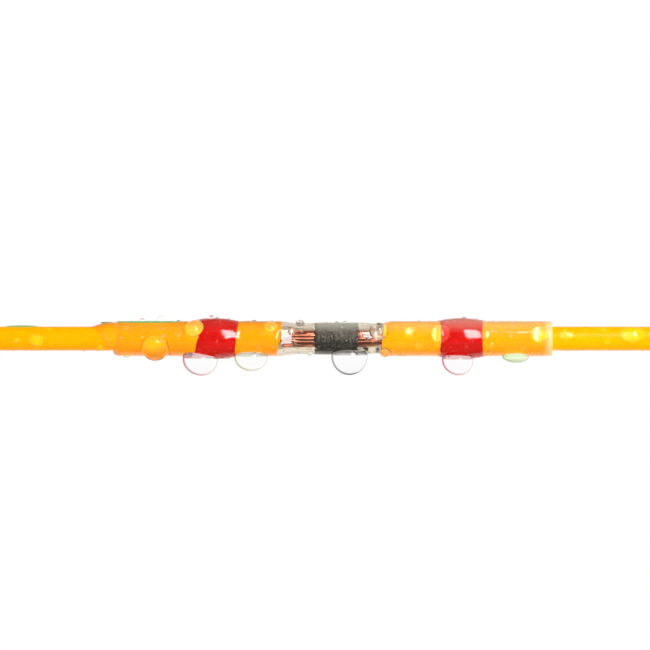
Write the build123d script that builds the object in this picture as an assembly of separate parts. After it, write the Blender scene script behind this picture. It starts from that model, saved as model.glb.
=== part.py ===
from build123d import *
import math
import os

# Solder seal wire connector, shrunk over a butt splice of two stranded wires.
# Millimetres. The wires run along X, +Z is up and -Y is the side that the splice shows best.
# The origin is on the wires' axis, in the middle of the sleeve's length.

# Sleeve: a clear tube that has shrunk on to what it holds
sleeve_length = 40.0
sleeve_wall = 0.49         # on the insulation; it is thicker where the tube has shrunk further
shoulder_run = 0.8         # length over which the sleeve comes down off an insulation's end
ring_shoulder_run = 0.50   # how far the sleeve's swelling reaches past a sealing ring
seat_clearance = 0.01      # between the sleeve and what it has shrunk on to

# Wires
insulation_d = 2.2
lead_length = 12.0         # insulated wire that stands out of each end of the sleeve
strand_d = 0.20
strand_sides = 12          # flats that stand for a strand's round section
strand_gap = 0.02          # between neighbouring strands
bore_clearance = 0.02      # between the bundle and the insulation's bore
row_counts = (3, 4, 5, 4)  # strands in each row of a bundle, sixteen in all

# Stripped ends of the insulation, by their places along X and how far the cuts lean
left_strip_x = -4.97
left_strip_lean = 11.0
right_strip_x = 4.50
right_strip_lean = 3.0

# Sealing rings: red adhesive, crowned in section
ring_crown_thickness = 0.37
ring_flats = 3             # straight runs of a ring's section, and of the sleeve's bore round it
left_ring_x = (-12.34, -8.95)
left_ring_lean = (13.0, 5.5)
right_ring_x = (9.84, 13.58)
right_ring_lean = (0.0, 0.0)

# Solder: melted round the strands
solder_x = (-1.70, 2.25)
solder_cover = 0.02        # solder outside the outermost strand
solder_edge = 0.10         # bevel of its two rims
wetting_clearance = 0.003  # between the solder and each strand

# Splice: the rows of one wire lie between the rows of the other
splice_gap = 0.04          # between the strands of one row
open_run = 0.75            # length over which a bundle opens from its bore
open_margin = 0.32         # from a stripped end to where its bundle starts to open
left_tip_x = 2.72          # middle of the left wire's ragged tips
left_tip_scatter = 0.26
right_tip_x = -3.00        # the same for the right wire's
right_tip_scatter = 0.70
left_long_strand = (0, 0)  # row and place of the one strand that reaches much further
right_long_strand = (1, 0)
long_tip_margin = 0.25     # from its tip to the other wire's insulation
right_long_sag = (-0.03, -0.08)   # how far the right wire's stands off the splice, in Y and Z
sag_start = 0.1            # from the solder to where it leaves the splice
sag_run = 1.2

# Worked out from the above
half_sleeve = sleeve_length / 2
lead_end = half_sleeve + lead_length
insulation_r = insulation_d / 2
strand_r = strand_d / 2
tight_pitch = strand_d + strand_gap
tight_rows = tight_pitch * math.sqrt(3) / 2
bundle_r = tight_pitch * (max(row_counts) - 1) / 2 + strand_r
bore_r = bundle_r + bore_clearance
splice_pitch = strand_d + splice_gap
splice_rows = math.sqrt(tight_pitch ** 2 - (splice_pitch / 2) ** 2)

LEFT = -1
RIGHT = 1


def rows(side):
    """Strands in each row of a wire from front to back: the right wire's bundle is turned round."""
    return row_counts if side == LEFT else row_counts[::-1]


def bundle_strands(side):
    """Row and place of each strand of a wire, in the order of their numbers."""
    return [(row, place) for row, count in enumerate(rows(side)) for place in range(count)]


def tight_place(side, row, place):
    """Y and Z of a strand where the insulation holds its bundle, with the longest row in the middle."""
    counts = rows(side)
    across = (row - counts.index(max(counts))) * tight_rows
    up = (place - (counts[row] - 1) / 2) * tight_pitch
    return across, up


def splice_place(side, row, place):
    """Y and Z of a strand in the splice, where its row lies between two rows of the other wire."""
    counts = rows(side)
    across = (2 * row - (len(counts) - 1) + side / 2) * splice_rows
    shift = -side / 2 if (counts[row] % 2 == 0) == (side == LEFT) else 0
    up = (place - (counts[row] - 1) / 2 + shift) * splice_pitch
    return across, up


def splice_places():
    """Y and Z of every strand of both wires in the splice."""
    return [splice_place(side, *strand) for side in (LEFT, RIGHT) for strand in bundle_strands(side)]


# Radii of what the sleeve has shrunk on to
splice_r = max(math.hypot(across, up) for across, up in splice_places()) + strand_r
solder_r = splice_r + solder_cover
ring_crown_r = insulation_r + ring_crown_thickness


def lean_reach(lean, radius):
    """How far a leaning cut reaches along X, above and below the axis."""
    return radius * math.tan(math.radians(lean))


def outer_radius(inner_radius):
    """The sleeve's outer radius: its section keeps its area however far it has shrunk."""
    bore = insulation_r + seat_clearance
    return math.sqrt(inner_radius ** 2 + (bore + sleeve_wall) ** 2 - bore ** 2)


def swelling(ring_x, ring_lean):
    """Ends of the sleeve's swelling over a sealing ring."""
    start = ring_x[0] - lean_reach(ring_lean[0], ring_crown_r) - ring_shoulder_run
    end = ring_x[1] + lean_reach(ring_lean[1], ring_crown_r) + ring_shoulder_run
    return start, end


def crown_arc(span, edge, crown):
    """The arc of a swelling from one end to the other, by the radii of its ends and middle."""
    start, end = span
    return ThreePointArc((start, edge), ((start + end) / 2, crown), (end, edge))


def crown_flats(span, edge, crown):
    """Straight runs with their corners on the same arc."""
    arc = crown_arc(span, edge, crown)
    return Polyline(*[arc @ (step / ring_flats) for step in range(ring_flats + 1)])


def sleeve_line(radius_of, crown_line):
    """One line of the sleeve's section from end to end, where radius_of gives it from the bore's."""
    left = swelling(left_ring_x, left_ring_lean)
    right = swelling(right_ring_x, right_ring_lean)
    left_strip = left_strip_x + lean_reach(left_strip_lean, insulation_r)
    right_strip = right_strip_x - lean_reach(right_strip_lean, insulation_r)
    tube = radius_of(insulation_r + seat_clearance)
    waist = radius_of(solder_r + seat_clearance)
    crown = radius_of(ring_crown_r + seat_clearance)
    middle = [
        (left[1], tube),
        (left_strip, tube),
        (left_strip + shoulder_run, waist),
        (right_strip - shoulder_run, waist),
        (right_strip, tube),
        (right[0], tube),
    ]
    return [
        Line((-half_sleeve, tube), (left[0], tube)),
        crown_line(left, tube, crown),
        Polyline(*middle),
        crown_line(right, tube, crown),
        Line((right[1], tube), (half_sleeve, tube)),
    ]


def turned(lines):
    """A solid of revolution about X from a closed outline in X and radius."""
    outline = make_face([edge for line in lines for edge in line.edges()])
    return revolve(outline, axis=Axis.X)


def heat_shrink_sleeve():
    inner = sleeve_line(lambda radius: radius, crown_flats)
    outer = sleeve_line(outer_radius, crown_arc)
    bore = insulation_r + seat_clearance
    ends = [Line((x, bore), (x, outer_radius(bore))) for x in (-half_sleeve, half_sleeve)]
    return turned(inner + outer + ends)


def cut_off(solid, x, lean, side):
    """Cuts away what lies on one side of a plane through x whose top leans towards +X."""
    plane = Plane(origin=(x, 0, 0), z_dir=(1, 0, 0)).rotated((0, lean, 0))
    return split(solid, bisect_by=plane, keep=Keep.TOP if side == LEFT else Keep.BOTTOM)


def sealing_ring(ring_x, ring_lean):
    """A crowned band of adhesive that fills the sleeve's swelling between its two faces."""
    span = swelling(ring_x, ring_lean)
    bore = insulation_r + seat_clearance
    start, end = span
    band = turned([crown_flats(span, bore, ring_crown_r), Line((end, bore), (start, bore))])
    band = cut_off(band, ring_x[0], ring_lean[0], LEFT)
    return cut_off(band, ring_x[1], ring_lean[1], RIGHT)


def insulation(side, strip_x, strip_lean):
    """A tube of insulation from its cut end outside the sleeve to its stripped end inside."""
    stop = strip_x - side * lean_reach(strip_lean, insulation_r)
    length = lead_end - side * stop
    start = Plane(origin=(side * lead_end, 0, 0), z_dir=(-side, 0, 0))
    tube = start * extrude(Circle(insulation_r) - Circle(bore_r), length)
    return cut_off(tube, strip_x, strip_lean, -side)


def strand_section(clearance=0):
    return RegularPolygon(strand_r + clearance, strand_sides)


def solder_ring():
    """Solder from one rim to the other, with a hole for each strand that it has wetted."""
    start, end = solder_x
    rim = solder_r - solder_edge
    slug = turned([
        Polyline((start, 0), (start, rim), (start + solder_edge, solder_r),
                 (end - solder_edge, solder_r), (end, rim), (end, 0), (start, 0)),
    ])
    face = Plane(origin=(start, 0, 0), x_dir=(0, 1, 0), z_dir=(1, 0, 0))
    hole = extrude(strand_section(wetting_clearance), end - start)
    return slug - [face * Pos(*spot) * hole for spot in splice_places()]


def tip_x(side, row, place):
    """Where a strand's tip lies past the solder, each a little different."""
    if side == LEFT and (row, place) == left_long_strand:
        return right_strip_x - long_tip_margin
    if side == RIGHT and (row, place) == right_long_strand:
        return left_strip_x + long_tip_margin
    wander = math.sin(2.4 * bundle_strands(side).index((row, place)))
    if side == LEFT:
        return left_tip_x + left_tip_scatter * wander
    return right_tip_x + right_tip_scatter * wander


def strand_route(side, row, place):
    """Corners of a strand: straight in its bore, then opening, then straight through the splice."""
    tight = tight_place(side, row, place)
    opened = splice_place(side, row, place)
    strip_x = left_strip_x if side == LEFT else right_strip_x
    open_x = strip_x - side * open_margin
    route = [
        (side * lead_end, *tight),
        (open_x, *tight),
        (open_x - side * open_run, *opened),
    ]
    if side == RIGHT and (row, place) == right_long_strand:
        sagged = opened[0] + right_long_sag[0], opened[1] + right_long_sag[1]
        route.append((solder_x[0] - sag_start, *opened))
        route.append((solder_x[0] - sag_start - sag_run, *sagged))
        opened = sagged
    return route + [(tip_x(side, row, place), *opened)]


def strand(side, row, place):
    """One copper strand, swept along its route."""
    path = Polyline(*strand_route(side, row, place))
    start = Plane(origin=path @ 0, x_dir=(0, 1, 0), z_dir=(-side, 0, 0))
    return sweep(start * strand_section(), path=path, transition=Transition.RIGHT)


def wire_strands(name, side):
    """Each strand of one wire, by its name."""
    numbered = enumerate(bundle_strands(side), start=1)
    return {f"{name}_strand_{number:02d}": strand(side, *spot) for number, spot in numbered}


pieces = {
    "heat_shrink_sleeve": heat_shrink_sleeve(),
    "solder_ring": solder_ring(),
    "left_sealing_ring": sealing_ring(left_ring_x, left_ring_lean),
    "right_sealing_ring": sealing_ring(right_ring_x, right_ring_lean),
    "left_insulation": insulation(LEFT, left_strip_x, left_strip_lean),
    "right_insulation": insulation(RIGHT, right_strip_x, right_strip_lean),
    **wire_strands("left", LEFT),
    **wire_strands("right", RIGHT),
}

os.makedirs("parts", exist_ok=True)
for name, shape in pieces.items():
    export_step(shape, f"parts/{name}.step")
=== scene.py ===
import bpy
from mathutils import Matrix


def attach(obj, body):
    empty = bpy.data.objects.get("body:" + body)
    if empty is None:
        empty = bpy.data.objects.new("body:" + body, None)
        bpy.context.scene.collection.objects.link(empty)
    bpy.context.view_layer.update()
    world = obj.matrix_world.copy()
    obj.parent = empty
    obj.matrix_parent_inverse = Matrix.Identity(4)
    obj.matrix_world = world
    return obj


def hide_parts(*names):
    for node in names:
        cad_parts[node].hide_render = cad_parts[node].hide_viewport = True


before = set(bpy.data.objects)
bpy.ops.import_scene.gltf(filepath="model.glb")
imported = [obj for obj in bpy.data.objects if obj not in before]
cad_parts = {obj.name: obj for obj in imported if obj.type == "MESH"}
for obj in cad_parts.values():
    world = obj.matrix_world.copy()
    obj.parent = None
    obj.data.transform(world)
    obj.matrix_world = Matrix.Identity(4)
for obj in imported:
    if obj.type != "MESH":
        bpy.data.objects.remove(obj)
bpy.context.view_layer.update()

import math

import bpy
from bpy.props import FloatProperty, FloatVectorProperty, IntProperty, PointerProperty
from mathutils import Vector, noise

bl_info = {
    "name": "Solder seal wire connector",
    "version": (1, 0, 0),
    "blender": (4, 5, 0),
    "location": "View3D > Sidebar > Connector",
    "description": "Dresses a shrunk solder seal connector in the rain, with its two yellow wires",
    "category": "Object",
}

MM = 0.001

# Places along X in mm, as the solids have them. The leans are those of the cuts, in degrees.
SLEEVE_END = 20.0
LEFT_END = -19.86   # the solid's lies at -20
LEAD_END = 32.0
STRIPS = ((-4.97, 11.0), (4.50, 3.0))
RINGS = (((-12.34, 13.0), (-8.95, 5.5)), ((9.84, 0.0), (13.58, 0.0)))
SOLDER = (-1.70, 2.25)
SHOULDER = 0.8   # how far the bore takes to draw in past the right wire's cut
RING_SHOULDERS = ((0.5, 0.22), (0.5, 0.5))   # how far the sleeve's swelling runs past each ring
FLAT = (-5.15, -3.20)   # where the sleeve's wall has folded flat on the front of its left taper
FLAT_TURN = 0.08   # the angle round X that the flat faces

# Radii in mm
WIRE_R = 1.10
TUBE_R = 1.60
CROWN_R = 1.876
RING_CROWN_R = 1.47
BORE_R = 0.87
SOLDER_R = 0.965
CONTACT = 0.012   # how far the sleeve's inner wall lies inside what it clings to
SUNK = 0.015   # how far the water's base lies inside what it stands on
# The sleeve's outside where it is drawn in at the splice: places along X and radii
WAIST = ((-5.35, TUBE_R), (-4.80, 1.592), (-4.25, 1.525), (-3.70, 1.455), (-3.25, 1.42), (-2.70, 1.42),
         (-1.95, 1.445), (-1.30, 1.487), (1.60, 1.487), (2.25, 1.484), (2.65, 1.47), (3.20, 1.42),
         (3.70, 1.365), (4.00, 1.345), (4.35, 1.38), (4.75, 1.49), (5.20, 1.585), (5.60, TUBE_R))

ROUND = 112   # points round the sleeve and the sealing rings


# Small helpers

def linear(hex_colour):
    """An sRGB hex colour as the linear numbers that a shader takes."""
    channels = [int(hex_colour[i:i + 2], 16) / 255 for i in (0, 2, 4)]
    return opaque(c / 12.92 if c <= 0.04045 else ((c + 0.055) / 1.055) ** 2.4 for c in channels)


def opaque(colour):
    """A colour's three numbers with a full alpha."""
    return tuple(colour) + (1.0,)


def add_node(tree, kind, links=None, **settings):
    """Adds a node, sets its properties, and sets or links its inputs by name or number. A node that is
    given for an input stands for its first output."""
    made = tree.nodes.new(kind)
    for name, value in settings.items():
        setattr(made, name, value)
    for name, value in (links or {}).items():
        if isinstance(value, bpy.types.Node):
            value = value.outputs[0]
        if isinstance(value, bpy.types.NodeSocket):
            tree.links.new(value, made.inputs[name])
        else:
            made.inputs[name].default_value = value
    return made


def set_stops(node, stops):
    """Gives a colour ramp its places and colours, from low to high."""
    ramp = node.color_ramp.elements
    for place, colour in stops[1:-1]:
        ramp.new(place).color = colour
    for stop, (place, colour) in ((ramp[0], stops[0]), (ramp[-1], stops[-1])):
        stop.position, stop.color = place, colour


def drawn_noise(tree, place, drawn, per_mm, detail):
    """Noise with so many swells to a millimetre, and only a share of them along X, as if drawn out."""
    stretched = add_node(tree, "ShaderNodeMapping", {"Vector": place, "Scale": (drawn, 1.0, 1.0)})
    return add_node(tree, "ShaderNodeTexNoise", {"Vector": stretched, "Scale": per_mm / MM, "Detail": detail})


def new_material(name):
    """An empty node material and its tree."""
    material = bpy.data.materials.new(name)
    material.use_nodes = True
    material.node_tree.nodes.clear()
    return material, material.node_tree


def new_object(name, data):
    """An object that is linked to the scene."""
    made = bpy.data.objects.new(name, data)
    bpy.context.scene.collection.objects.link(made)
    return made


def mesh_in_mm(name, points, faces):
    """A mesh from points in mm."""
    mesh = bpy.data.meshes.new(name)
    mesh.from_pydata([(x * MM, y * MM, z * MM) for x, y, z in points], [], faces)
    return mesh


def finish_piece(name, points, faces, material, replaced=(), slot=None):
    """Makes a smooth mesh piece from points in mm, and lets it ride on the connector."""
    mesh = mesh_in_mm(name, points, faces)
    mesh.materials.append(material)
    mesh.shade_smooth()
    piece = new_object(name, mesh)
    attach(piece, "root")
    if replaced:
        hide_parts(*replaced)


def ease(t):
    """A smooth step from 0 to 1."""
    t = min(max(t, 0.0), 1.0)
    return t * t * (3 - 2 * t)


def between(x, start, end, rise, fall=None):
    """A share that rises smoothly from 0 at the start to 1, and falls back to 0 at the end."""
    return min(ease((x - start) / rise), ease((end - x) / (fall or rise)))


def around(x, radius, turn):
    """A point in mm at an angle round X: 0 faces -Y and a quarter turn faces up."""
    return (x, -radius * math.cos(turn), radius * math.sin(turn))


def whole_turn(count):
    """Angles round X in even steps."""
    return [2 * math.pi * j / count for j in range(count)]


def leaning(place, lean, radius, turn):
    """Where a cut whose top leans towards +X meets a radius at an angle round X."""
    return place + math.tan(math.radians(lean)) * radius * math.sin(turn)


def uneven(x, turn, across, shift=0.0):
    """Smooth noise from -1 to 1 that closes on itself round X."""
    return noise.noise(Vector((x, across * math.cos(turn), across * math.sin(turn) + shift)))


def closed_grid(rows, wrap_rows=False):
    """Points, and quads over rows of points that each close on themselves."""
    count = len(rows[0])
    faces = []
    for i in range(len(rows) if wrap_rows else len(rows) - 1):
        a, b = i * count, (i + 1) % len(rows) * count
        for j in range(count):
            k = (j + 1) % count
            faces.append((a + j, b + j, b + k, a + k))
    return [point for row in rows for point in row], faces


def capped_grid(rows, first, last):
    """A closed shell: quads over the rows, and a fan to a point at each end."""
    points, faces = closed_grid(rows)
    count, start = len(rows[0]), len(points)
    end = start - count
    for j in range(count):
        k = (j + 1) % count
        faces += [(start, j, k), (start + 1, end + k, end + j)]
    return points + [first, last], faces


def lined_grid(rows, radius):
    """A closed ring: quads over the rows, and an inner wall at a radius in mm."""
    inside = [[around(x, radius, turn) for (x, _, _), turn in zip(row, whole_turn(len(row)))]
              for row in (rows[-1], rows[0])]
    return closed_grid(rows + inside, wrap_rows=True)


# The sleeve's form

def ring_faces(ring, turn):
    """Where a sealing ring's two faces lie along X at an angle round X."""
    return [leaning(*face, RING_CROWN_R, turn) for face in ring]


def stripped_ends(turn):
    """Where the two wires' insulation ends along X at an angle round X."""
    return [leaning(*strip, WIRE_R, turn) for strip in STRIPS]


def swelling(ring):
    """Ends of the sleeve's swelling over a sealing ring."""
    (start, start_lean), (end, end_lean) = ring
    reach = [math.tan(math.radians(lean)) * RING_CROWN_R for lean in (start_lean, end_lean)]
    past = RING_SHOULDERS[RINGS.index(ring)]
    return start - reach[0] - past[0], end + reach[1] + past[1]


def along_table(table, x):
    """A smooth curve through a table of places and values."""
    if x <= table[0][0]:
        return table[0][1]
    for i in range(len(table) - 1):
        (x0, y0), (x1, y1) = table[i], table[i + 1]
        if x <= x1:
            before, after = table[max(i - 1, 0)], table[min(i + 2, len(table) - 1)]
            slope0 = (y1 - before[1]) / (x1 - before[0])
            slope1 = (after[1] - y0) / (after[0] - x0)
            t, run = (x - x0) / (x1 - x0), x1 - x0
            return (y0 * (1 + 2 * t) * (1 - t) ** 2 + slope0 * run * t * (1 - t) ** 2
                    + y1 * t * t * (3 - 2 * t) - slope1 * run * t * t * (1 - t))
    return table[-1][1]


def sleeve_radius(x, turn=0.0):
    """The sleeve's outer radius in mm."""
    if x < LEFT_END or x > SLEEVE_END:
        return WIRE_R
    radius = along_table(WAIST, x)
    ripple = 0.006   # how uneven the wall is, in mm, and more so where it is stretched over a ring
    for ring in RINGS:
        start, end = swelling(ring)
        if start < x < end:
            arc = 4 * (x - start) * (end - x) / (end - start) ** 2
            radius = TUBE_R + (CROWN_R - TUBE_R) * 1.05 * arc * arc / (arc + 0.05)
            ripple += 0.010 * arc
    folded, front = between(x, *FLAT, 0.4), math.cos(turn - FLAT_TURN)
    if folded > 0 and front > 0.5:
        radius = min(radius, (radius - 0.15 * folded) / front)
    return (radius + ripple * uneven(0.45 * x, turn, 1.3, 7)
            + 0.35 * ripple * uneven(1.3 * x, turn, 2.4, 3))


def mouth_reach(turn):
    """How far the water in the corner of the left mouth runs out along the wire, in mm."""
    return 0.30 + 1.95 * (0.5 + 0.5 * math.sin(turn)) ** 1.3


def mouth_radius(share, turn):
    """Radius in mm of that water at a share of its reach."""
    upper = 0.5 + 0.5 * math.sin(turn)
    return WIRE_R - 0.003 + (TUBE_R - 0.06 - WIRE_R) * (1 - share ** (4.5 - 2.5 * upper ** 3))


def body_radius(x, turn=0.0):
    """Outer radius in mm of what the rain falls on: sleeve, wire or the water in the left mouth."""
    if LEFT_END <= x <= SLEEVE_END:
        return sleeve_radius(x, turn)
    share = (LEFT_END - x) / mouth_reach(turn)
    return mouth_radius(share, turn) if 0 < share < 1 else WIRE_R


def ring_radius(x, ring):
    """Radius of a sealing ring's crown: steep at its faces and then the arc that swells the sleeve."""
    start, end = swelling(ring)
    t = min(max((x - start) / (end - start), 0), 1)
    return WIRE_R + (RING_CROWN_R - WIRE_R) * max(math.sin(math.pi * t), 0.0) ** 0.75


def bore_radius(x, turn):
    """The sleeve's inner radius in mm, just inside what it clings to."""
    cling = WIRE_R - CONTACT
    for ring in RINGS:
        left, right = ring_faces(ring, turn)
        left, right = left + 0.06, right - 0.06
        if left < x < right:
            return cling + (ring_radius(x, ring) - CONTACT - cling) * between(x, left, right, 0.05)
    left, right = stripped_ends(turn)
    if not left < x < right:
        return cling
    radius = cling + (BORE_R - cling) * between(x, left - 0.05, right + 0.05, 1.5, SHOULDER)
    # flux has drawn the wall on to the strands along the upper front
    if math.cos(turn) > 0:
        wet = between(math.sin(turn), -0.30, 0.72, 0.30, 0.12) * between(x, -4.0, 3.3, 0.4, 0.3)
        radius -= 0.17 * wet
    grip = between(x, SOLDER[0] - 0.02, SOLDER[1] + 0.02, 0.12)
    return radius + (SOLDER_R - 0.035 - radius) * grip


def sleeve_stations(turn):
    """Places along X, closer together where the form changes, that follow the leaning cuts."""
    by_ring = []
    for ring, after in zip(RINGS, (14, 26)):
        left, right = ring_faces(ring, turn)
        by_ring.append([(left - 0.9, 8), (left, 3), (left + 0.14, 26), (right - 0.14, 3), (right, 8),
                        (right + 0.9, after)])
    left, right = stripped_ends(turn)
    splice = [(left - 0.06, 12), (left + SHOULDER, 10), (SOLDER[0] - 0.15, 4), (SOLDER[0] + 0.15, 12),
              (SOLDER[1] - 0.15, 4), (SOLDER[1] + 0.15, 5), (right - SHOULDER, 12), (right + 0.06, 20)]
    # each mark is a place and the number of steps from it to the next mark
    marks = [(LEFT_END, 34)] + by_ring[0] + splice + by_ring[1] + [(SLEEVE_END, 1)]
    places = []
    for (here, count), (there, _) in zip(marks, marks[1:]):
        places += [here + (there - here) * step / count for step in range(count)]
    return places + [SLEEVE_END]


# Finishes

def see_through(tree, surface, straight, slanting, slant_from=0.12, slant_to=0.8):
    """Lets lamps and soft light reach what lies under a clear surface, by shares for light that strikes it
    straight on and at a slant, and writes the output."""
    path = add_node(tree, "ShaderNodeLightPath").outputs
    slant = add_node(tree, "ShaderNodeLayerWeight", {"Blend": 0.5}).outputs["Facing"]
    passed = add_node(tree, "ShaderNodeMapRange", {
        "Value": slant, "From Min": slant_from, "From Max": slant_to, "To Min": straight, "To Max": slanting})
    clear = add_node(tree, "ShaderNodeBsdfTransparent", {"Color": passed})
    for kind in ("Is Shadow Ray", "Is Diffuse Ray"):
        surface = add_node(tree, "ShaderNodeMixShader", {0: path[kind], 1: surface, 2: clear})
    add_node(tree, "ShaderNodeOutputMaterial", {"Surface": surface})


def recovered_polyolefin(settings):
    """Clear heat-shrink polyolefin, blown and shrunk back: glassy, with a faint milky cast that thickens at
    its right end, and a painted sheen that makes its upper side milkier and paler, as if lit from above."""
    material, tree = new_material("recovered polyolefin")
    place = add_node(tree, "ShaderNodeTexCoord").outputs["Object"]
    along = add_node(tree, "ShaderNodeSeparateXYZ", {0: place}).outputs
    # milkiness in clouds about 2 mm across, drawn out along the tube
    clouds = drawn_noise(tree, place, 0.45, 0.7, 3.0)
    haze = add_node(tree, "ShaderNodeMapRange", {
        "Value": clouds, "From Min": 0.4, "From Max": 0.75,
        "To Min": settings.haze * 0.5, "To Max": settings.haze * 1.6})
    end = add_node(tree, "ShaderNodeMapRange", {"Value": along["X"], "From Min": 0.0192, "From Max": 0.0199,
                                                "To Max": 0.3})
    # painted sheen: the upper side is made milkier and paler, most of all over the solder, standing in for
    # light falling from above
    length = add_node(tree, "ShaderNodeMapRange", {"Value": along["X"], "From Min": -0.012,
                                                   "From Max": 0.012})
    most = add_node(tree, "ShaderNodeValToRGB", {"Fac": length})
    set_stops(most, [(stop, (share, share, share, 1.0)) for stop, share in (
        (0.0, 0.025), (0.42, 0.04), (0.44, 0.40), (0.585, 0.40), (0.605, 0.04), (0.69, 0.12), (1.0, 0.17))])
    painted_top_sheen = add_node(tree, "ShaderNodeMapRange", {"Value": along["Z"], "From Min": 0.0005, "From Max": 0.0016,
                                                 "To Max": most})
    # the random haze, the right end's milky cast and the painted sheen on the upper side, added up
    milk_and_sheen = haze
    for part in (end, painted_top_sheen):
        milk_and_sheen = add_node(tree, "ShaderNodeMath", {0: milk_and_sheen, 1: part}, operation="ADD")
    whiter = add_node(tree, "ShaderNodeMapRange", {"Value": milk_and_sheen, "From Min": 0.02, "From Max": 0.17})
    tone = add_node(tree, "ShaderNodeMix", {"Factor": whiter, "A": opaque(settings.sleeve_colour),
                                            "B": linear("F0ECD8")}, data_type="RGBA")
    clearness = add_node(tree, "ShaderNodeMath", {0: 1.0, 1: milk_and_sheen}, operation="SUBTRACT")
    # draw lines from the extrusion, 0.1 mm apart
    drawn = drawn_noise(tree, place, 0.04, 9.0, 2.0)
    bump = add_node(tree, "ShaderNodeBump", {"Height": drawn, "Strength": 0.2, "Distance": 0.00004})
    surface = add_node(tree, "ShaderNodeBsdfPrincipled", {
        "Base Color": tone.outputs["Result"], "Roughness": 0.1, "IOR": 1.49,
        "Transmission Weight": clearness, "Normal": bump})
    see_through(tree, surface, 1.07, 1.18)
    return material


def hot_melt(settings):
    """Red hot-melt adhesive: a soft translucent wax of a body, smooth where it has flowed."""
    material, tree = new_material("red hot-melt adhesive")
    place = add_node(tree, "ShaderNodeTexCoord").outputs["Object"]
    # flow marks about 0.7 mm across and 2 mm long
    flow = drawn_noise(tree, place, 0.3, 1.5, 4.0)
    tone = add_node(tree, "ShaderNodeValToRGB", {"Fac": flow})
    set_stops(tone, ((0.35, linear("B40A05")), (0.7, opaque(settings.adhesive_colour))))
    bump = add_node(tree, "ShaderNodeBump", {"Height": flow, "Strength": 0.2, "Distance": 0.00005})
    surface = add_node(tree, "ShaderNodeBsdfPrincipled", {
        "Base Color": tone, "Roughness": 0.15, "IOR": 1.48, "Specular IOR Level": 0.0,
        "Subsurface Weight": 0.25, "Subsurface Radius": (1.0, 0.25, 0.15), "Subsurface Scale": 0.0004,
        "Normal": bump})
    add_node(tree, "ShaderNodeOutputMaterial", {"Surface": surface})
    return material


def wire_pvc(name, colour):
    """Flexible PVC insulation: glossy from the die, with faint draw lines and a slightly uneven pigment."""
    material, tree = new_material(name)
    place = add_node(tree, "ShaderNodeTexCoord").outputs["Object"]
    # draw lines 0.2 mm apart, and pigment in clouds about 2 mm across
    drawn = drawn_noise(tree, place, 0.03, 5.0, 3.0)
    pigment = add_node(tree, "ShaderNodeTexNoise", {"Vector": place, "Scale": 0.45 / MM, "Detail": 2.0})
    deep = opaque(c * k for c, k in zip(colour, (0.985, 0.9, 0.9)))
    tone = add_node(tree, "ShaderNodeMix", {"Factor": pigment, "A": deep, "B": opaque(colour)},
                    data_type="RGBA")
    bump = add_node(tree, "ShaderNodeBump", {"Height": drawn, "Strength": 0.06, "Distance": 0.00003})
    # where the sleeve clings to it, there is no air between them and so no gloss
    along = add_node(tree, "ShaderNodeSeparateXYZ", {0: place})
    reach = add_node(tree, "ShaderNodeMath", {0: along}, operation="ABSOLUTE")
    gloss = add_node(tree, "ShaderNodeMapRange", {"Value": reach, "From Min": 0.0197, "From Max": 0.0201,
                                                  "To Max": 0.06})
    surface = add_node(tree, "ShaderNodeBsdfPrincipled", {
        "Base Color": tone.outputs["Result"], "Roughness": 0.15, "IOR": 1.53, "Specular IOR Level": gloss,
        "Subsurface Weight": 0.5, "Subsurface Radius": (1.0, 0.3, 0.02), "Subsurface Scale": 0.0009,
        "Normal": bump})
    add_node(tree, "ShaderNodeOutputMaterial", {"Surface": surface})
    return material


def bare_copper(settings):
    """Annealed copper wire, drawn bright and a little dulled: pink-brown metal with streaks along it."""
    material, tree = new_material("annealed copper")
    place = add_node(tree, "ShaderNodeTexCoord").outputs["Object"]
    # streaks 0.17 mm apart, a little finer than a strand
    streaks = drawn_noise(tree, place, 0.15, 6.0, 3.0)
    tone = add_node(tree, "ShaderNodeMix", {"Factor": streaks, "A": linear("8A4A3C"),
                                            "B": opaque(settings.copper_colour)}, data_type="RGBA")
    surface = add_node(tree, "ShaderNodeBsdfPrincipled", {
        "Base Color": tone.outputs["Result"], "Metallic": 1.0, "Roughness": 0.3})
    add_node(tree, "ShaderNodeOutputMaterial", {"Surface": surface})
    return material


def melted_solder(settings):
    """Low-melt solder just past its melting point: dull, dark grey and grainy, like wet sand."""
    material, tree = new_material("low-melt solder")
    place = add_node(tree, "ShaderNodeTexCoord").outputs["Object"]
    # grains, about 0.1 mm across unless the setting says otherwise, and dust as fine
    grains = add_node(tree, "ShaderNodeTexVoronoi", {"Vector": place, "Scale": 1.0 / settings.grain})
    dust = add_node(tree, "ShaderNodeTexNoise", {"Vector": place, "Scale": 9.0 / MM, "Detail": 4.0})
    # paler patches about 0.7 mm across
    patches = add_node(tree, "ShaderNodeTexNoise", {"Vector": place, "Scale": 1.5 / MM, "Detail": 2.0})
    pale = add_node(tree, "ShaderNodeMath", {0: patches, 1: 0.35, 2: dust}, operation="MULTIPLY_ADD")
    pale = add_node(tree, "ShaderNodeMath", {0: pale, 1: 0.175}, operation="SUBTRACT")
    tone = add_node(tree, "ShaderNodeValToRGB", {"Fac": pale})
    set_stops(tone, ((0.42, linear("222120")), (0.74, opaque(settings.solder_colour))))
    height = add_node(tree, "ShaderNodeMath", {0: grains, 1: dust}, operation="ADD")
    bump = add_node(tree, "ShaderNodeBump", {"Height": height, "Strength": 0.6, "Distance": 0.00004})
    surface = add_node(tree, "ShaderNodeBsdfPrincipled", {
        "Base Color": tone, "Metallic": 0.55, "Roughness": 0.5, "Normal": bump})
    add_node(tree, "ShaderNodeOutputMaterial", {"Surface": surface})
    return material


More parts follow.
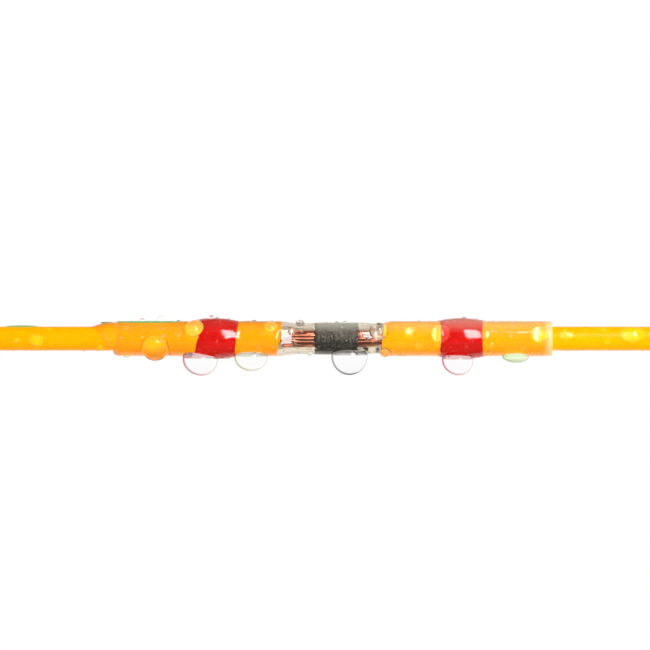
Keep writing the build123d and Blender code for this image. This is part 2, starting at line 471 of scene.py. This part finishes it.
def rain_water(name, tint, rim=None, span=(0.0, 1.0), neck=0.0, clearness=1.0, gather=1.35):
    """Water, which is clear and smooth; some of it carries a trace of green and is less clear. Like small
    lenses, the drops gather light on to what they lie on. A painted rim gives the water at its edges the
    colour that refraction shows of what it clings to, more so at the left end of its span along X, and paints
    that colour too on all that lies above its neck along Z."""
    material, tree = new_material(name)
    surface = add_node(tree, "ShaderNodeBsdfPrincipled", {
        "Base Color": tint, "Roughness": 0.0, "IOR": 1.333, "Transmission Weight": clearness})
    # painted refraction: at grazing edges and above the neck, the water's base colour turns to the rim
    # colour, standing in for what is seen through it
    if rim:
        facing = add_node(tree, "ShaderNodeLayerWeight", {"Blend": 0.5}).outputs["Facing"]
        place = add_node(tree, "ShaderNodeTexCoord").outputs["Object"]
        along = add_node(tree, "ShaderNodeSeparateXYZ", {0: place}).outputs
        left = add_node(tree, "ShaderNodeMapRange", {"Value": along["X"], "From Min": span[0],
                                                     "From Max": span[1], "To Min": 1.0, "To Max": 0.62})
        edge = add_node(tree, "ShaderNodeMath", {0: facing, 1: left}, operation="MULTIPLY")
        upper = add_node(tree, "ShaderNodeMapRange", {"Value": along["Z"], "From Min": neck,
                                                      "From Max": neck + 0.0001, "To Max": 0.51})
        most = add_node(tree, "ShaderNodeMath", {0: edge, 1: upper}, operation="MAXIMUM")
        tone = add_node(tree, "ShaderNodeValToRGB", {"Fac": most})
        set_stops(tone, ((0.36, tint), (0.58, linear(rim))))
        tree.links.new(tone.outputs["Color"], surface.inputs["Base Color"])
    see_through(tree, surface, gather, 0.45, 0.1, 0.7)
    return material


def clear_water():
    """The water that most drops share, made when it is first asked for."""
    return bpy.data.materials.get("rain water") or rain_water("rain water", linear("FFFFFF"))


# Settings

class ConnectorSettings(bpy.types.PropertyGroup):
    """Finishes of the connector and its wires."""
    sleeve_colour: FloatVectorProperty(name="Sleeve", description="Colour of the clear sleeve",
                                       subtype="COLOR", size=3, min=0, max=1, default=linear("DED0BC")[:3])
    haze: FloatProperty(name="Haze", description="Share of the sleeve that is milky", subtype="FACTOR",
                        min=0, max=0.5, default=0.003)
    adhesive_colour: FloatVectorProperty(name="Adhesive", description="Colour of the sealing rings",
                                         subtype="COLOR", size=3, min=0, max=1, default=linear("C41009")[:3])
    left_colour: FloatVectorProperty(name="Left wire", description="Colour of the left wire's insulation",
                                     subtype="COLOR", size=3, min=0, max=1, default=linear("FF9C00")[:3])
    right_colour: FloatVectorProperty(name="Right wire", description="Colour of the right wire's insulation",
                                      subtype="COLOR", size=3, min=0, max=1, default=linear("FFA500")[:3])
    copper_colour: FloatVectorProperty(name="Copper", description="Colour of the bare strands",
                                       subtype="COLOR", size=3, min=0, max=1, default=linear("DE927B")[:3])
    solder_colour: FloatVectorProperty(name="Solder", description="Colour of the melted solder",
                                       subtype="COLOR", size=3, min=0, max=1, default=linear("5E5B57")[:3])
    grain: FloatProperty(name="Solder grain", description="Size of the solder's grains", unit="LENGTH",
                         min=0.00002, max=0.0005, default=0.0001, precision=5)


class RainSettings(bpy.types.PropertyGroup):
    """Drops and beads of water."""
    bead_count: IntProperty(name="Beads", description="Small beads scattered over sleeve and wires",
                            min=0, max=3000, default=1500)
    bead_size: FloatProperty(name="Bead radius", description="Radius of the largest small beads",
                             unit="LENGTH", min=0.00002, max=0.0005, default=0.00015, precision=5)
    seed: IntProperty(name="Seed", description="Which scatter of beads is taken", min=0, default=7)


class StageSettings(bpy.types.PropertyGroup):
    """Camera, lamps and floor."""
    frame_width: FloatProperty(name="Frame width", description="Width that the camera takes in",
                               unit="LENGTH", min=0.01, max=1, default=0.0595)
    camera_distance: FloatProperty(name="Camera distance", description="From the lens to the wires",
                                   unit="LENGTH", min=0.1, max=5, default=0.6)
    floor_drop: FloatProperty(name="Floor drop", description="From the wires down to the floor",
                              unit="LENGTH", min=0.005, max=1, default=0.034)
    ambient: FloatProperty(name="Ambient", description="Strength of the even light from all round",
                           min=0, max=2, default=0.66)
    softbox: FloatProperty(name="Softbox", description="Power of the tall softbox", subtype="POWER",
                           unit="POWER", min=0, max=100, default=1.75)


# Pieces of the connector

class CONNECTOR_OT_sleeve(bpy.types.Operator):
    """Makes the shrunk sleeve, swollen over its rings and drawn in at the splice"""
    bl_idname = "connector.sleeve"
    bl_label = "Sleeve"

    def execute(self, context):
        rim = 0.04   # how far the cut edges have rolled, in mm
        turns = whole_turn(ROUND)
        outer, inner = [], []
        for places in zip(*[sleeve_stations(turn) for turn in turns]):
            over, under = [], []
            for x, turn in zip(places, turns):
                edge = max(min(SLEEVE_END - x, x - LEFT_END, rim), 0.0)
                dip = rim - math.sqrt(max(rim * rim - (rim - edge) ** 2, 0.0))
                over.append(around(x, sleeve_radius(x, turn) - 0.8 * dip, turn))
                under.append(around(x, bore_radius(x, turn), turn))
            outer.append(over)
            inner.append(under)
        points, faces = closed_grid(outer + inner[::-1], wrap_rows=True)
        finish_piece("shrunk_sleeve", points, faces, recovered_polyolefin(context.scene.connector),
                     ["heat_shrink_sleeve"], "clear_sleeve")
        return {"FINISHED"}


class CONNECTOR_OT_sealing_rings(bpy.types.Operator):
    """Makes the two sealing rings, crowned and a little uneven at their edges"""
    bl_idname = "connector.sealing_rings"
    bl_label = "Sealing rings"

    def execute(self, context):
        material = hot_melt(context.scene.connector)
        steps = 36
        for name, ring in zip(("left_sealing_ring", "right_sealing_ring"), RINGS):
            rows = []
            for step in range(steps + 1):
                t = step / steps
                row = []
                for turn in whole_turn(ROUND):
                    wave = uneven(ring[0][0], turn, 2.2)
                    left, right = ring_faces(ring, turn)
                    left, right = left + 0.07 * wave, right - 0.06 * wave
                    x = left + (right - left) * t
                    rise = (ring_radius(x, ring) - WIRE_R) * between(t, 0.0, 1.0, 0.03)
                    row.append(around(x, WIRE_R + rise, turn))
                rows.append(row)
            points, faces = lined_grid(rows, WIRE_R - 0.004)
            finish_piece(name + "_adhesive", points, faces, material, [name], "red_adhesive")
        return {"FINISHED"}


class CONNECTOR_OT_solder(bpy.types.Operator):
    """Makes the melted solder with its ragged rims and grainy skin"""
    bl_idname = "connector.solder"
    bl_label = "Solder"

    def execute(self, context):
        turns, steps = 160, 60
        start, end = SOLDER

        def rough(x, turn, size):
            """Noise with swells of a size in mm."""
            return uneven(x / size, turn, 1 / size)

        def drawn_in(row, middle, share):
            """A rim's row, drawn in over the end face towards a place on the axis."""
            return [(x * share + middle * (1 - share), y * share, z * share) for x, y, z in row]

        rows = []
        for step in range(steps + 1):
            t = step / steps
            row = []
            for turn in whole_turn(turns):
                left = start + 0.10 * rough(0, turn, 0.22) + 0.06 * rough(5, turn, 0.08)
                right = end + 0.12 * rough(9, turn, 0.22) + 0.06 * rough(3, turn, 0.08)
                x = left + (right - left) * t
                skin = 0.010 * rough(x, turn, 0.12) + 0.006 * rough(x, turn, 0.05)
                rim = 0.10 * (1 - ease(min(t, 1 - t) * (right - left) / 0.09))
                row.append(around(x, SOLDER_R + skin - rim, turn))
            rows.append(row)
        shares = (0.75, 0.5, 0.25, 0.08)
        front = [drawn_in(rows[0], start - 0.04, share) for share in shares[::-1]]
        back = [drawn_in(rows[-1], end + 0.04, share) for share in shares]
        points, faces = capped_grid(front + rows + back, (start - 0.05, 0, 0), (end + 0.05, 0, 0))
        finish_piece("melted_solder", points, faces, melted_solder(context.scene.connector),
                     ["solder_ring"], "solder")
        return {"FINISHED"}


class CONNECTOR_OT_wires(bpy.types.Operator):
    """Gives the wires' insulation and copper strands their finishes"""
    bl_idname = "connector.wires"
    bl_label = "Wires"

    def execute(self, context):
        settings = context.scene.connector
        finishes = {
            "left_insulation": wire_pvc("golden yellow PVC", settings.left_colour),
            "right_insulation": wire_pvc("bright yellow PVC", settings.right_colour),
        }
        strands = [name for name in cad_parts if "strand" in name]
        if not strands or not all(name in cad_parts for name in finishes):
            raise RuntimeError("the frame lacks the wires' insulation or strands")
        finishes.update(dict.fromkeys(strands, bare_copper(settings)))
        for name, finish in finishes.items():
            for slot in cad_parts[name].material_slots:
                slot.material = finish
        return {"FINISHED"}


# Water

# Hanging drops: place along X, half-length along X, half-depth, how far they hang down, and how far the
# lowest point lies to the right of the middle, all in mm. Then the tint of the water, the colour of its
# painted rim, which stands in for what is seen through the water at its edges, and how clear the water is.
HANGING_DROPS = {
    "drop_under_left_ring": (-12.2, 1.62, 1.55, 1.62, 0.10, "FFFFFF", "B4000C", 1.0),
    "drop_under_left_tube": (-7.55, 1.54, 1.45, 1.38, 0.0, "FFFFFF", "A08A30", 1.0),
    "drop_under_solder": (1.46, 1.68, 1.50, 1.86, 0.0, "FFFFFF", "5A5048", 1.0),
    "drop_under_right_ring": (11.35, 1.45, 1.48, 1.50, 0.10, "FFFFFF", "C00814", 1.0),
    "drop_under_right_end": (16.66, 1.24, 1.25, 0.63, 0.10, "E8F2D4", "9CBC8A", 0.6),
    "drop_under_left_end": (-18.95, 0.30, 0.60, 0.15, 0.0, "E8F2D4", "B4CFA0", 0.5),
}
# Green films and standing drops: place along X, height of the middle, half-length along X, half-width
# round the body, how far it stands out, how far it sags down and, for some, how far its middle is raised
# off the body, in mm
GREEN_FILMS = [
    (-28.55, 1.09, 1.50, 0.30, 0.12, 0.0),
    (-16.9, 1.52, 2.95, 0.26, 0.045, 0.0),
    (-20.62, 1.60, 0.78, 0.30, 0.07, 0.0, 0.03),
]
STANDING_DROPS = [
    (-16.3, -0.80, 1.25, 1.22, 0.75, 0.15),
    (-12.70, 0.96, 0.88, 0.85, 0.60, 0.08),
    (-5.72, 1.05, 0.62, 0.62, 0.42, 0.08),
    (-3.84, 0.69, 0.40, 0.40, 0.30, 0.04),
    (-3.07, 1.31, 0.42, 0.40, 0.36, 0.0, 0.04),
    (-2.24, -1.47, 0.26, 0.26, 0.16, 0.0),
    (-15.8, 1.60, 0.36, 0.34, 0.36, 0.0, 0.12),
    (-17.5, 1.58, 0.24, 0.24, 0.22, 0.0, 0.06),
    (-14.2, 1.60, 0.18, 0.18, 0.10, 0.0),
    (0.3, 1.47, 0.22, 0.22, 0.12, 0.0),
    (4.16, 0.72, 0.90, 0.90, 0.62, 0.10),
    (4.75, -1.20, 0.50, 0.50, 0.42, 0.05),
    (7.00, 0.69, 0.48, 0.40, 0.22, 0.05),
    (7.83, -0.60, 0.36, 0.34, 0.22, 0.03),
    (9.82, 0.48, 0.90, 0.80, 0.50, 0.06),
    (14.4, -0.60, 0.30, 0.28, 0.18, 0.02),
    (18.8, 0.41, 0.78, 0.70, 0.50, 0.06),
    (19.36, -1.00, 0.30, 0.28, 0.20, 0.02),
    (-11.17, 1.86, 0.24, 0.24, 0.24, 0.0, 0.03),
    (-6.86, -0.91, 0.34, 0.34, 0.24, 0.03),
    (17.30, -0.78, 0.34, 0.32, 0.24, 0.03),
    (-10.66, 1.87, 0.16, 0.16, 0.10, 0.0),
    (-7.28, 1.59, 0.20, 0.20, 0.12, 0.0),
    (1.05, 1.48, 0.22, 0.22, 0.14, 0.0),
    (11.94, 1.87, 0.20, 0.20, 0.12, 0.0),
    (-18.9, 0.95, 0.26, 0.26, 0.14, 0.02),
    (-28.97, -0.14, 0.30, 0.27, 0.22, 0.02),
    (-27.14, -0.10, 0.69, 0.56, 0.42, 0.06),
    (-21.37, -0.82, 0.36, 0.34, 0.22, 0.04),
    (21.4, 0.30, 0.72, 0.40, 0.16, 0.02),
    (25.0, -0.23, 0.30, 0.28, 0.18, 0.02),
    (24.6, 0.85, 0.30, 0.24, 0.12, 0.02),
    (27.35, 0.42, 1.15, 0.72, 0.42, 0.06),
]


def hanging_shell(x0, half_length, half_depth, hang, lean):
    """A closed drop in mm that hangs from the body's underside. It is widest a little below the body, drawn
    in towards it, and its base lies just inside the body's surface."""
    turns, rings, neck = 72, 26, 8
    foot = -body_radius(x0, -math.pi / 2)
    widest = 0.06 * hang
    sunk = 0.02
    columns = []
    for angle in whole_turn(turns):
        column = []
        x_share, round_share = math.cos(angle), abs(math.sin(angle))
        y_share = -math.copysign(round_share ** 0.75, math.sin(angle))
        for step in range(1, rings + 1):
            slant = math.pi / 2 * step / rings
            down = widest + (hang - widest) * math.cos(slant)
            column.append((x0 + half_length * x_share * math.sin(slant) + lean * (down / hang) ** 2,
                           half_depth * y_share * math.sin(slant), foot - down))
        # the line where the drop meets the body
        x = x0 + 0.985 * half_length * x_share
        y = -math.copysign(0.72 * half_depth * round_share ** 0.45, math.sin(angle))
        top = foot
        for _ in range(6):
            radius = body_radius(x, math.atan2(top, -y))
            top = -math.sqrt(max(radius * radius - y * y, 0.0))
        low_x, low_y, low_z = column[-1]
        for step in range(1, neck + 1):
            t = step / neck
            bend = 1 - math.sqrt(1 - t * t)
            column.append((low_x + (x - low_x) * bend, low_y + (y - low_y) * bend, low_z + (top - low_z) * t))
        for share in (0.97, 0.6, 0.3):
            inner_x, inner_y = x0 + (x - x0) * share, y * share
            radius = body_radius(inner_x, -math.pi / 2) - sunk
            column.append((inner_x, inner_y, -math.sqrt(max(radius * radius - inner_y * inner_y, 0.0))))
        columns.append(column)
    return capped_grid(list(zip(*columns)), (x0 + lean, 0.0, foot - hang), (x0, 0.0, foot + sunk))


def drop_shell(x0, height, half_length, half_width, stand, sag, rise=0.0):
    """A closed drop in mm: rings from its tip to the line where it meets the body, and a base that lies
    just inside the body's surface."""
    turns, rings = 40, 16
    radius = body_radius(x0)
    turn0 = math.asin(min(max(height / radius, -1.0), 1.0))
    out = Vector((0, -math.cos(turn0), math.sin(turn0)))
    side = Vector((0, math.sin(turn0), math.cos(turn0)))
    middle = Vector(around(x0, radius, turn0)) + out * rise

    def on_dome(across, slant):
        """A point of the drop's dome, at an angle from its tip."""
        return middle + across * math.sin(slant) + out * (stand * math.cos(slant))

    columns = []
    for angle in whole_turn(turns):
        across = Vector((1, 0, 0)) * (math.cos(angle) * half_length) + side * (math.sin(angle) * half_width)
        # the slant at which the dome goes under the body's surface
        low, high = 0.0, math.pi * 0.75
        for _ in range(24):
            slant = (low + high) / 2
            spot = on_dome(across, slant)
            if math.hypot(spot.y, spot.z) > body_radius(spot.x, math.atan2(spot.z, -spot.y)):
                low = slant
            else:
                high = slant
        column = []
        for step in range(1, rings + 1):
            spot = on_dome(across, low * step / rings)
            spot.z -= sag * math.sin(math.pi * step / rings) * 0.8
            column.append(spot)
        edge = column[-1]
        turn = math.atan2(edge.z, -edge.y)
        for share in (1.0, 0.7, 0.35):
            x = x0 + (edge.x - x0) * share
            bend = turn0 + ((turn - turn0 + math.pi) % (2 * math.pi) - math.pi) * share
            column.append(around(x, body_radius(x, bend) - SUNK, bend))
        columns.append(column)
    return capped_grid(list(zip(*columns)), middle + out * stand, around(x0, radius - SUNK, turn0))


def merge_shells(shells):
    """Several shells as the points and faces of one mesh."""
    points, faces = [], []
    for more_points, more_faces in shells:
        start = len(points)
        points += more_points
        faces += [tuple(start + index for index in face) for face in more_faces]
    return points, faces


class CONNECTOR_OT_drops(bpy.types.Operator):
    """Places the drops that can be told apart, hanging and standing"""
    bl_idname = "connector.drops"
    bl_label = "Drops"

    def execute(self, context):
        mossy = rain_water("green-tinged film of water", linear("74B268"), clearness=0.45)
        for name, (*form, tint, rim, clearness) in HANGING_DROPS.items():
            x, half_length = form[:2]
            span = ((x - half_length) * MM, (x + half_length) * MM)
            neck = (-body_radius(x, -math.pi / 2) - 0.14) * MM
            water = rain_water("water of " + name, linear(tint), rim, span, neck, clearness)
            finish_piece(name, *hanging_shell(*form), water)
        for name, drops, material in (("standing_drops", STANDING_DROPS, clear_water()),
                                      ("green_films", GREEN_FILMS, mossy)):
            finish_piece(name, *merge_shells([drop_shell(*drop) for drop in drops]), material)
        return {"FINISHED"}


class CONNECTOR_OT_mouth_water(bpy.types.Operator):
    """Draws the water that clings in the corner between the left wire and the sleeve's end"""
    bl_idname = "connector.mouth_water"
    bl_label = "Water at the left mouth"

    def execute(self, context):
        turns, steps = 72, 16
        inside = 0.02   # how far the water begins inside the mouth, in mm
        rows = []
        for step in range(steps + 1):
            t = step / steps
            row = []
            for turn in whole_turn(turns):
                x = LEFT_END + inside - (mouth_reach(turn) + inside) * t
                row.append(around(x, mouth_radius(t, turn), turn))
            rows.append(row)
        points, faces = lined_grid(rows, WIRE_R - SUNK)
        # painted shade: the water's edge takes a deeper orange than the wire, standing in for the darker band
        # along it
        span = ((LEFT_END - 2.3) * MM, LEFT_END * MM)
        water = rain_water("water at the left mouth", linear("FFFFFF"), "FF9420", span, TUBE_R * MM,
                           gather=0.95)
        finish_piece("mouth_water", points, [face[::-1] for face in faces], water)
        return {"FINISHED"}


class CONNECTOR_OT_beads(bpy.types.Operator):
    """Scatters small beads of water over the sleeve and the wires"""
    bl_idname = "connector.beads"
    bl_label = "Small beads"

    def execute(self, context):
        settings = context.scene.rain
        turns, steps = 40, 200
        rows = []
        for step in range(steps + 1):
            x = -LEAD_END + 2 * LEAD_END * step / steps
            rows.append([around(x, body_radius(x, turn), turn) for turn in whole_turn(turns)])
        points, faces = closed_grid(rows)
        host = new_object("small_beads", mesh_in_mm("wet_surface", points, [face[::-1] for face in faces]))

        tree = bpy.data.node_groups.new("scattered beads", "GeometryNodeTree")
        inputs = {}
        for name, kind in (("Geometry", "Geometry"), ("Count", "Int"), ("Largest radius", "Float"),
                           ("Seed", "Int"), ("Material", "Material")):
            inputs[name] = tree.interface.new_socket(name, in_out="INPUT", socket_type="NodeSocket" + kind)
        tree.interface.new_socket("Geometry", in_out="OUTPUT", socket_type="NodeSocketGeometry")
        given = add_node(tree, "NodeGroupInput").outputs
        # the wet surface is about as large as a tube of 1.45 mm radius and 64 mm length, in square metres
        area = 2 * math.pi * 1.45 * 64e-6
        density = add_node(tree, "ShaderNodeMath", {0: given["Count"], 1: area}, operation="DIVIDE")
        scatter = add_node(tree, "GeometryNodeDistributePointsOnFaces", {
            "Mesh": given["Geometry"], "Distance Min": 0.00022, "Density Max": density,
            "Seed": given["Seed"]}, distribute_method="POISSON").outputs
        ball = add_node(tree, "GeometryNodeMeshUVSphere", {"Radius": given["Largest radius"],
                                                           "Segments": 10, "Rings": 6})
        flat = add_node(tree, "GeometryNodeTransform", {"Geometry": ball, "Scale": (1.0, 1.0, 0.6)})
        spread = add_node(tree, "FunctionNodeRandomValue", {"Min": 0.0, "Max": 1.0, "Seed": given["Seed"]})
        cubed = add_node(tree, "ShaderNodeMath", {0: spread.outputs[1], 1: 3.0}, operation="POWER")
        grown = add_node(tree, "ShaderNodeMapRange", {"Value": cubed, "To Min": 0.3, "To Max": 1.0})
        placed = add_node(tree, "GeometryNodeInstanceOnPoints", {
            "Points": scatter["Points"], "Instance": flat, "Rotation": scatter["Rotation"], "Scale": grown})
        real = add_node(tree, "GeometryNodeRealizeInstances", {"Geometry": placed})
        smooth = add_node(tree, "GeometryNodeSetShadeSmooth", {"Geometry": real})
        wet = add_node(tree, "GeometryNodeSetMaterial", {"Geometry": smooth, "Material": given["Material"]})
        add_node(tree, "NodeGroupOutput", {"Geometry": wet})

        modifier = host.modifiers.new("beads", "NODES")
        modifier.node_group = tree
        for name, value in (("Count", settings.bead_count), ("Largest radius", settings.bead_size),
                            ("Seed", settings.seed), ("Material", clear_water())):
            modifier[inputs[name].identifier] = value
        context.view_layer.update()
        made = bpy.data.meshes.new_from_object(host.evaluated_get(context.evaluated_depsgraph_get()))
        if settings.bead_count and not made.polygons:
            raise RuntimeError("no beads were scattered")
        host.modifiers.clear()
        host.data = made
        made.name = "small_beads"
        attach(host, "root")
        return {"FINISHED"}


# Stage

class CONNECTOR_OT_stage(bpy.types.Operator):
    """Sets the floor, the lamps, the surroundings and the camera"""
    bl_idname = "connector.stage"
    bl_label = "Stage"

    def execute(self, context):
        settings = context.scene.stage
        scene = context.scene
        scene.view_settings.view_transform = "Standard"

        # floor: white card, lifted to white where it is seen, also in shiny and through clear things.
        # Shiny things show it dark in front of the wires. Clear things show a dark strip of it, 27 mm to
        # either side of a line 30 mm in front of the wires.
        material, tree = new_material("white card")
        path = add_node(tree, "ShaderNodeLightPath").outputs
        place = add_node(tree, "ShaderNodeTexCoord").outputs["Object"]
        depth = add_node(tree, "ShaderNodeSeparateXYZ", {0: place}).outputs["Y"]
        off = add_node(tree, "ShaderNodeMath", {0: depth, 1: 0.03}, operation="ADD")
        off = add_node(tree, "ShaderNodeMath", {0: off}, operation="ABSOLUTE")
        strip = add_node(tree, "ShaderNodeMapRange", {"Value": off, "From Min": 0.027, "From Max": 0.04,
                                                      "To Min": 1.0, "To Max": 0.0})
        front = add_node(tree, "ShaderNodeMapRange", {"Value": depth, "From Min": 0.0, "From Max": 0.01,
                                                      "To Min": 1.0, "To Max": 0.0})
        clear = add_node(tree, "ShaderNodeMath", {0: path["Is Transmission Ray"], 1: strip},
                         operation="MULTIPLY")
        darkened = add_node(tree, "ShaderNodeMath", {0: path["Is Glossy Ray"], 1: front, 2: clear},
                            operation="MULTIPLY_ADD")
        seen = path["Is Camera Ray"]
        for kind in ("Is Transmission Ray", "Is Glossy Ray"):
            seen = add_node(tree, "ShaderNodeMath", {0: seen, 1: path[kind]}, operation="MAXIMUM")
        card = add_node(tree, "ShaderNodeBsdfDiffuse", {"Color": opaque([0.85] * 3)})
        dark = add_node(tree, "ShaderNodeBsdfDiffuse", {"Color": opaque([0.18] * 3)})
        lift = add_node(tree, "ShaderNodeEmission", {"Strength": 0.4})
        faint = add_node(tree, "ShaderNodeEmission", {"Strength": 0.15})
        glow = add_node(tree, "ShaderNodeMixShader", {0: seen, 1: faint, 2: lift})
        white = add_node(tree, "ShaderNodeAddShader", {0: card, 1: glow})
        either = add_node(tree, "ShaderNodeMixShader", {0: darkened, 1: white, 2: dark})
        add_node(tree, "ShaderNodeOutputMaterial", {"Surface": either})
        reach = 0.1
        drop = -settings.floor_drop
        mesh = bpy.data.meshes.new("floor")
        mesh.from_pydata([(-reach, -reach, drop), (reach, -reach, drop), (reach, reach, drop),
                          (-reach, reach, drop)], [], [(0, 1, 2, 3)])
        mesh.materials.append(material)
        new_object("floor", mesh)

        # surroundings: white wherever they are seen, and dimmer as light
        world = bpy.data.worlds.new("white studio")
        world.use_nodes = True
        tree = world.node_tree
        tree.nodes.clear()
        path = add_node(tree, "ShaderNodeLightPath").outputs
        direction = add_node(tree, "ShaderNodeTexCoord").outputs["Generated"]
        axes = add_node(tree, "ShaderNodeSeparateXYZ", {0: direction}).outputs
        # soft light, a little stronger from below, where the room is white
        soft = add_node(tree, "ShaderNodeMapRange", {"Value": axes["Z"], "From Min": -1.0, "From Max": 1.0,
                                                     "To Min": settings.ambient * 2.3,
                                                     "To Max": settings.ambient * 0.65})
        # shiny surfaces mirror a room that is white behind the wires and past their ends, and dark in front
        ends = add_node(tree, "ShaderNodeMath", {0: axes["X"]}, operation="ABSOLUTE")
        past = add_node(tree, "ShaderNodeMath", {0: ends, 1: 0.95, 2: axes["Y"]}, operation="MULTIPLY_ADD")
        mirrored = add_node(tree, "ShaderNodeMapRange", {"Value": past, "From Min": 0.7, "From Max": 0.95,
                                                         "To Min": 0.05, "To Max": 1.0})
        # clear things bend in a white room, dark only far up and to the right, beside the softbox
        slant = add_node(tree, "ShaderNodeVectorMath", {0: direction, 1: (0.62, 0.0, 0.78)},
                         operation="DOT_PRODUCT").outputs["Value"]
        bent = add_node(tree, "ShaderNodeMapRange", {"Value": slant, "From Min": 0.6, "From Max": 0.85,
                                                     "To Min": 1.0, "To Max": 0.25})
        level = soft
        for kind, shown in (("Is Glossy Ray", mirrored), ("Is Transmission Ray", bent),
                            ("Is Camera Ray", 1.0)):
            level = add_node(tree, "ShaderNodeMix", {"Factor": path[kind], "A": level, "B": shown},
                             data_type="FLOAT")
        sky = add_node(tree, "ShaderNodeBackground", {"Color": linear("FFFFFF"), "Strength": level})
        add_node(tree, "ShaderNodeOutputWorld", {"Surface": sky})
        scene.world = world

        # the tall softbox, up and to the right of the camera
        lamp = bpy.data.lights.new("tall_softbox", "AREA")
        lamp.shape = "RECTANGLE"
        lamp.size, lamp.size_y, lamp.energy = 0.10, 0.32, settings.softbox
        softbox = new_object("tall_softbox", lamp)
        softbox.location = (0.100, -0.330, 0.168)
        softbox.rotation_euler = (-softbox.location).to_track_quat("-Z", "Y").to_euler()

        # camera: level and side-on, with a long lens
        view = bpy.data.cameras.new("camera")
        view.sensor_width = 36.0
        view.lens = view.sensor_width * settings.camera_distance / settings.frame_width
        view.clip_start, view.clip_end = 0.01, 20.0
        camera = new_object("camera", view)
        camera.location = (-0.00078, -settings.camera_distance, 0.00124)
        camera.rotation_euler = (math.pi / 2, 0, 0)
        scene.camera = camera
        return {"FINISHED"}


class CONNECTOR_PT_panel(bpy.types.Panel):
    """Lists the connector's pieces and settings"""
    bl_idname = "CONNECTOR_PT_panel"
    bl_label = "Connector"
    bl_space_type = "VIEW_3D"
    bl_region_type = "UI"
    bl_category = "Connector"

    def draw(self, context):
        for step in STEPS:
            self.layout.operator(step.bl_idname)
        for group in (context.scene.connector, context.scene.rain, context.scene.stage):
            box = self.layout.box()
            for name in group.__annotations__:
                box.prop(group, name)


STEPS = (
    CONNECTOR_OT_sleeve,
    CONNECTOR_OT_sealing_rings,
    CONNECTOR_OT_solder,
    CONNECTOR_OT_wires,
    CONNECTOR_OT_drops,
    CONNECTOR_OT_mouth_water,
    CONNECTOR_OT_beads,
    CONNECTOR_OT_stage,
)
GROUPS = (("connector", ConnectorSettings), ("rain", RainSettings), ("stage", StageSettings))


def register():
    for name, group in GROUPS:
        bpy.utils.register_class(group)
        setattr(bpy.types.Scene, name, PointerProperty(type=group))
    for step in STEPS:
        bpy.utils.register_class(step)
    bpy.utils.register_class(CONNECTOR_PT_panel)


def unregister():
    bpy.utils.unregister_class(CONNECTOR_PT_panel)
    for step in reversed(STEPS):
        bpy.utils.unregister_class(step)
    for name, group in reversed(GROUPS):
        delattr(bpy.types.Scene, name)
        bpy.utils.unregister_class(group)


def main():
    register()
    bpy.ops.connector.sleeve()
    bpy.ops.connector.sealing_rings()
    bpy.ops.connector.solder()
    bpy.ops.connector.wires()
    bpy.ops.connector.drops()
    bpy.ops.connector.mouth_water()
    bpy.ops.connector.beads()
    bpy.ops.connector.stage()


if __name__ == "__main__":
    main()
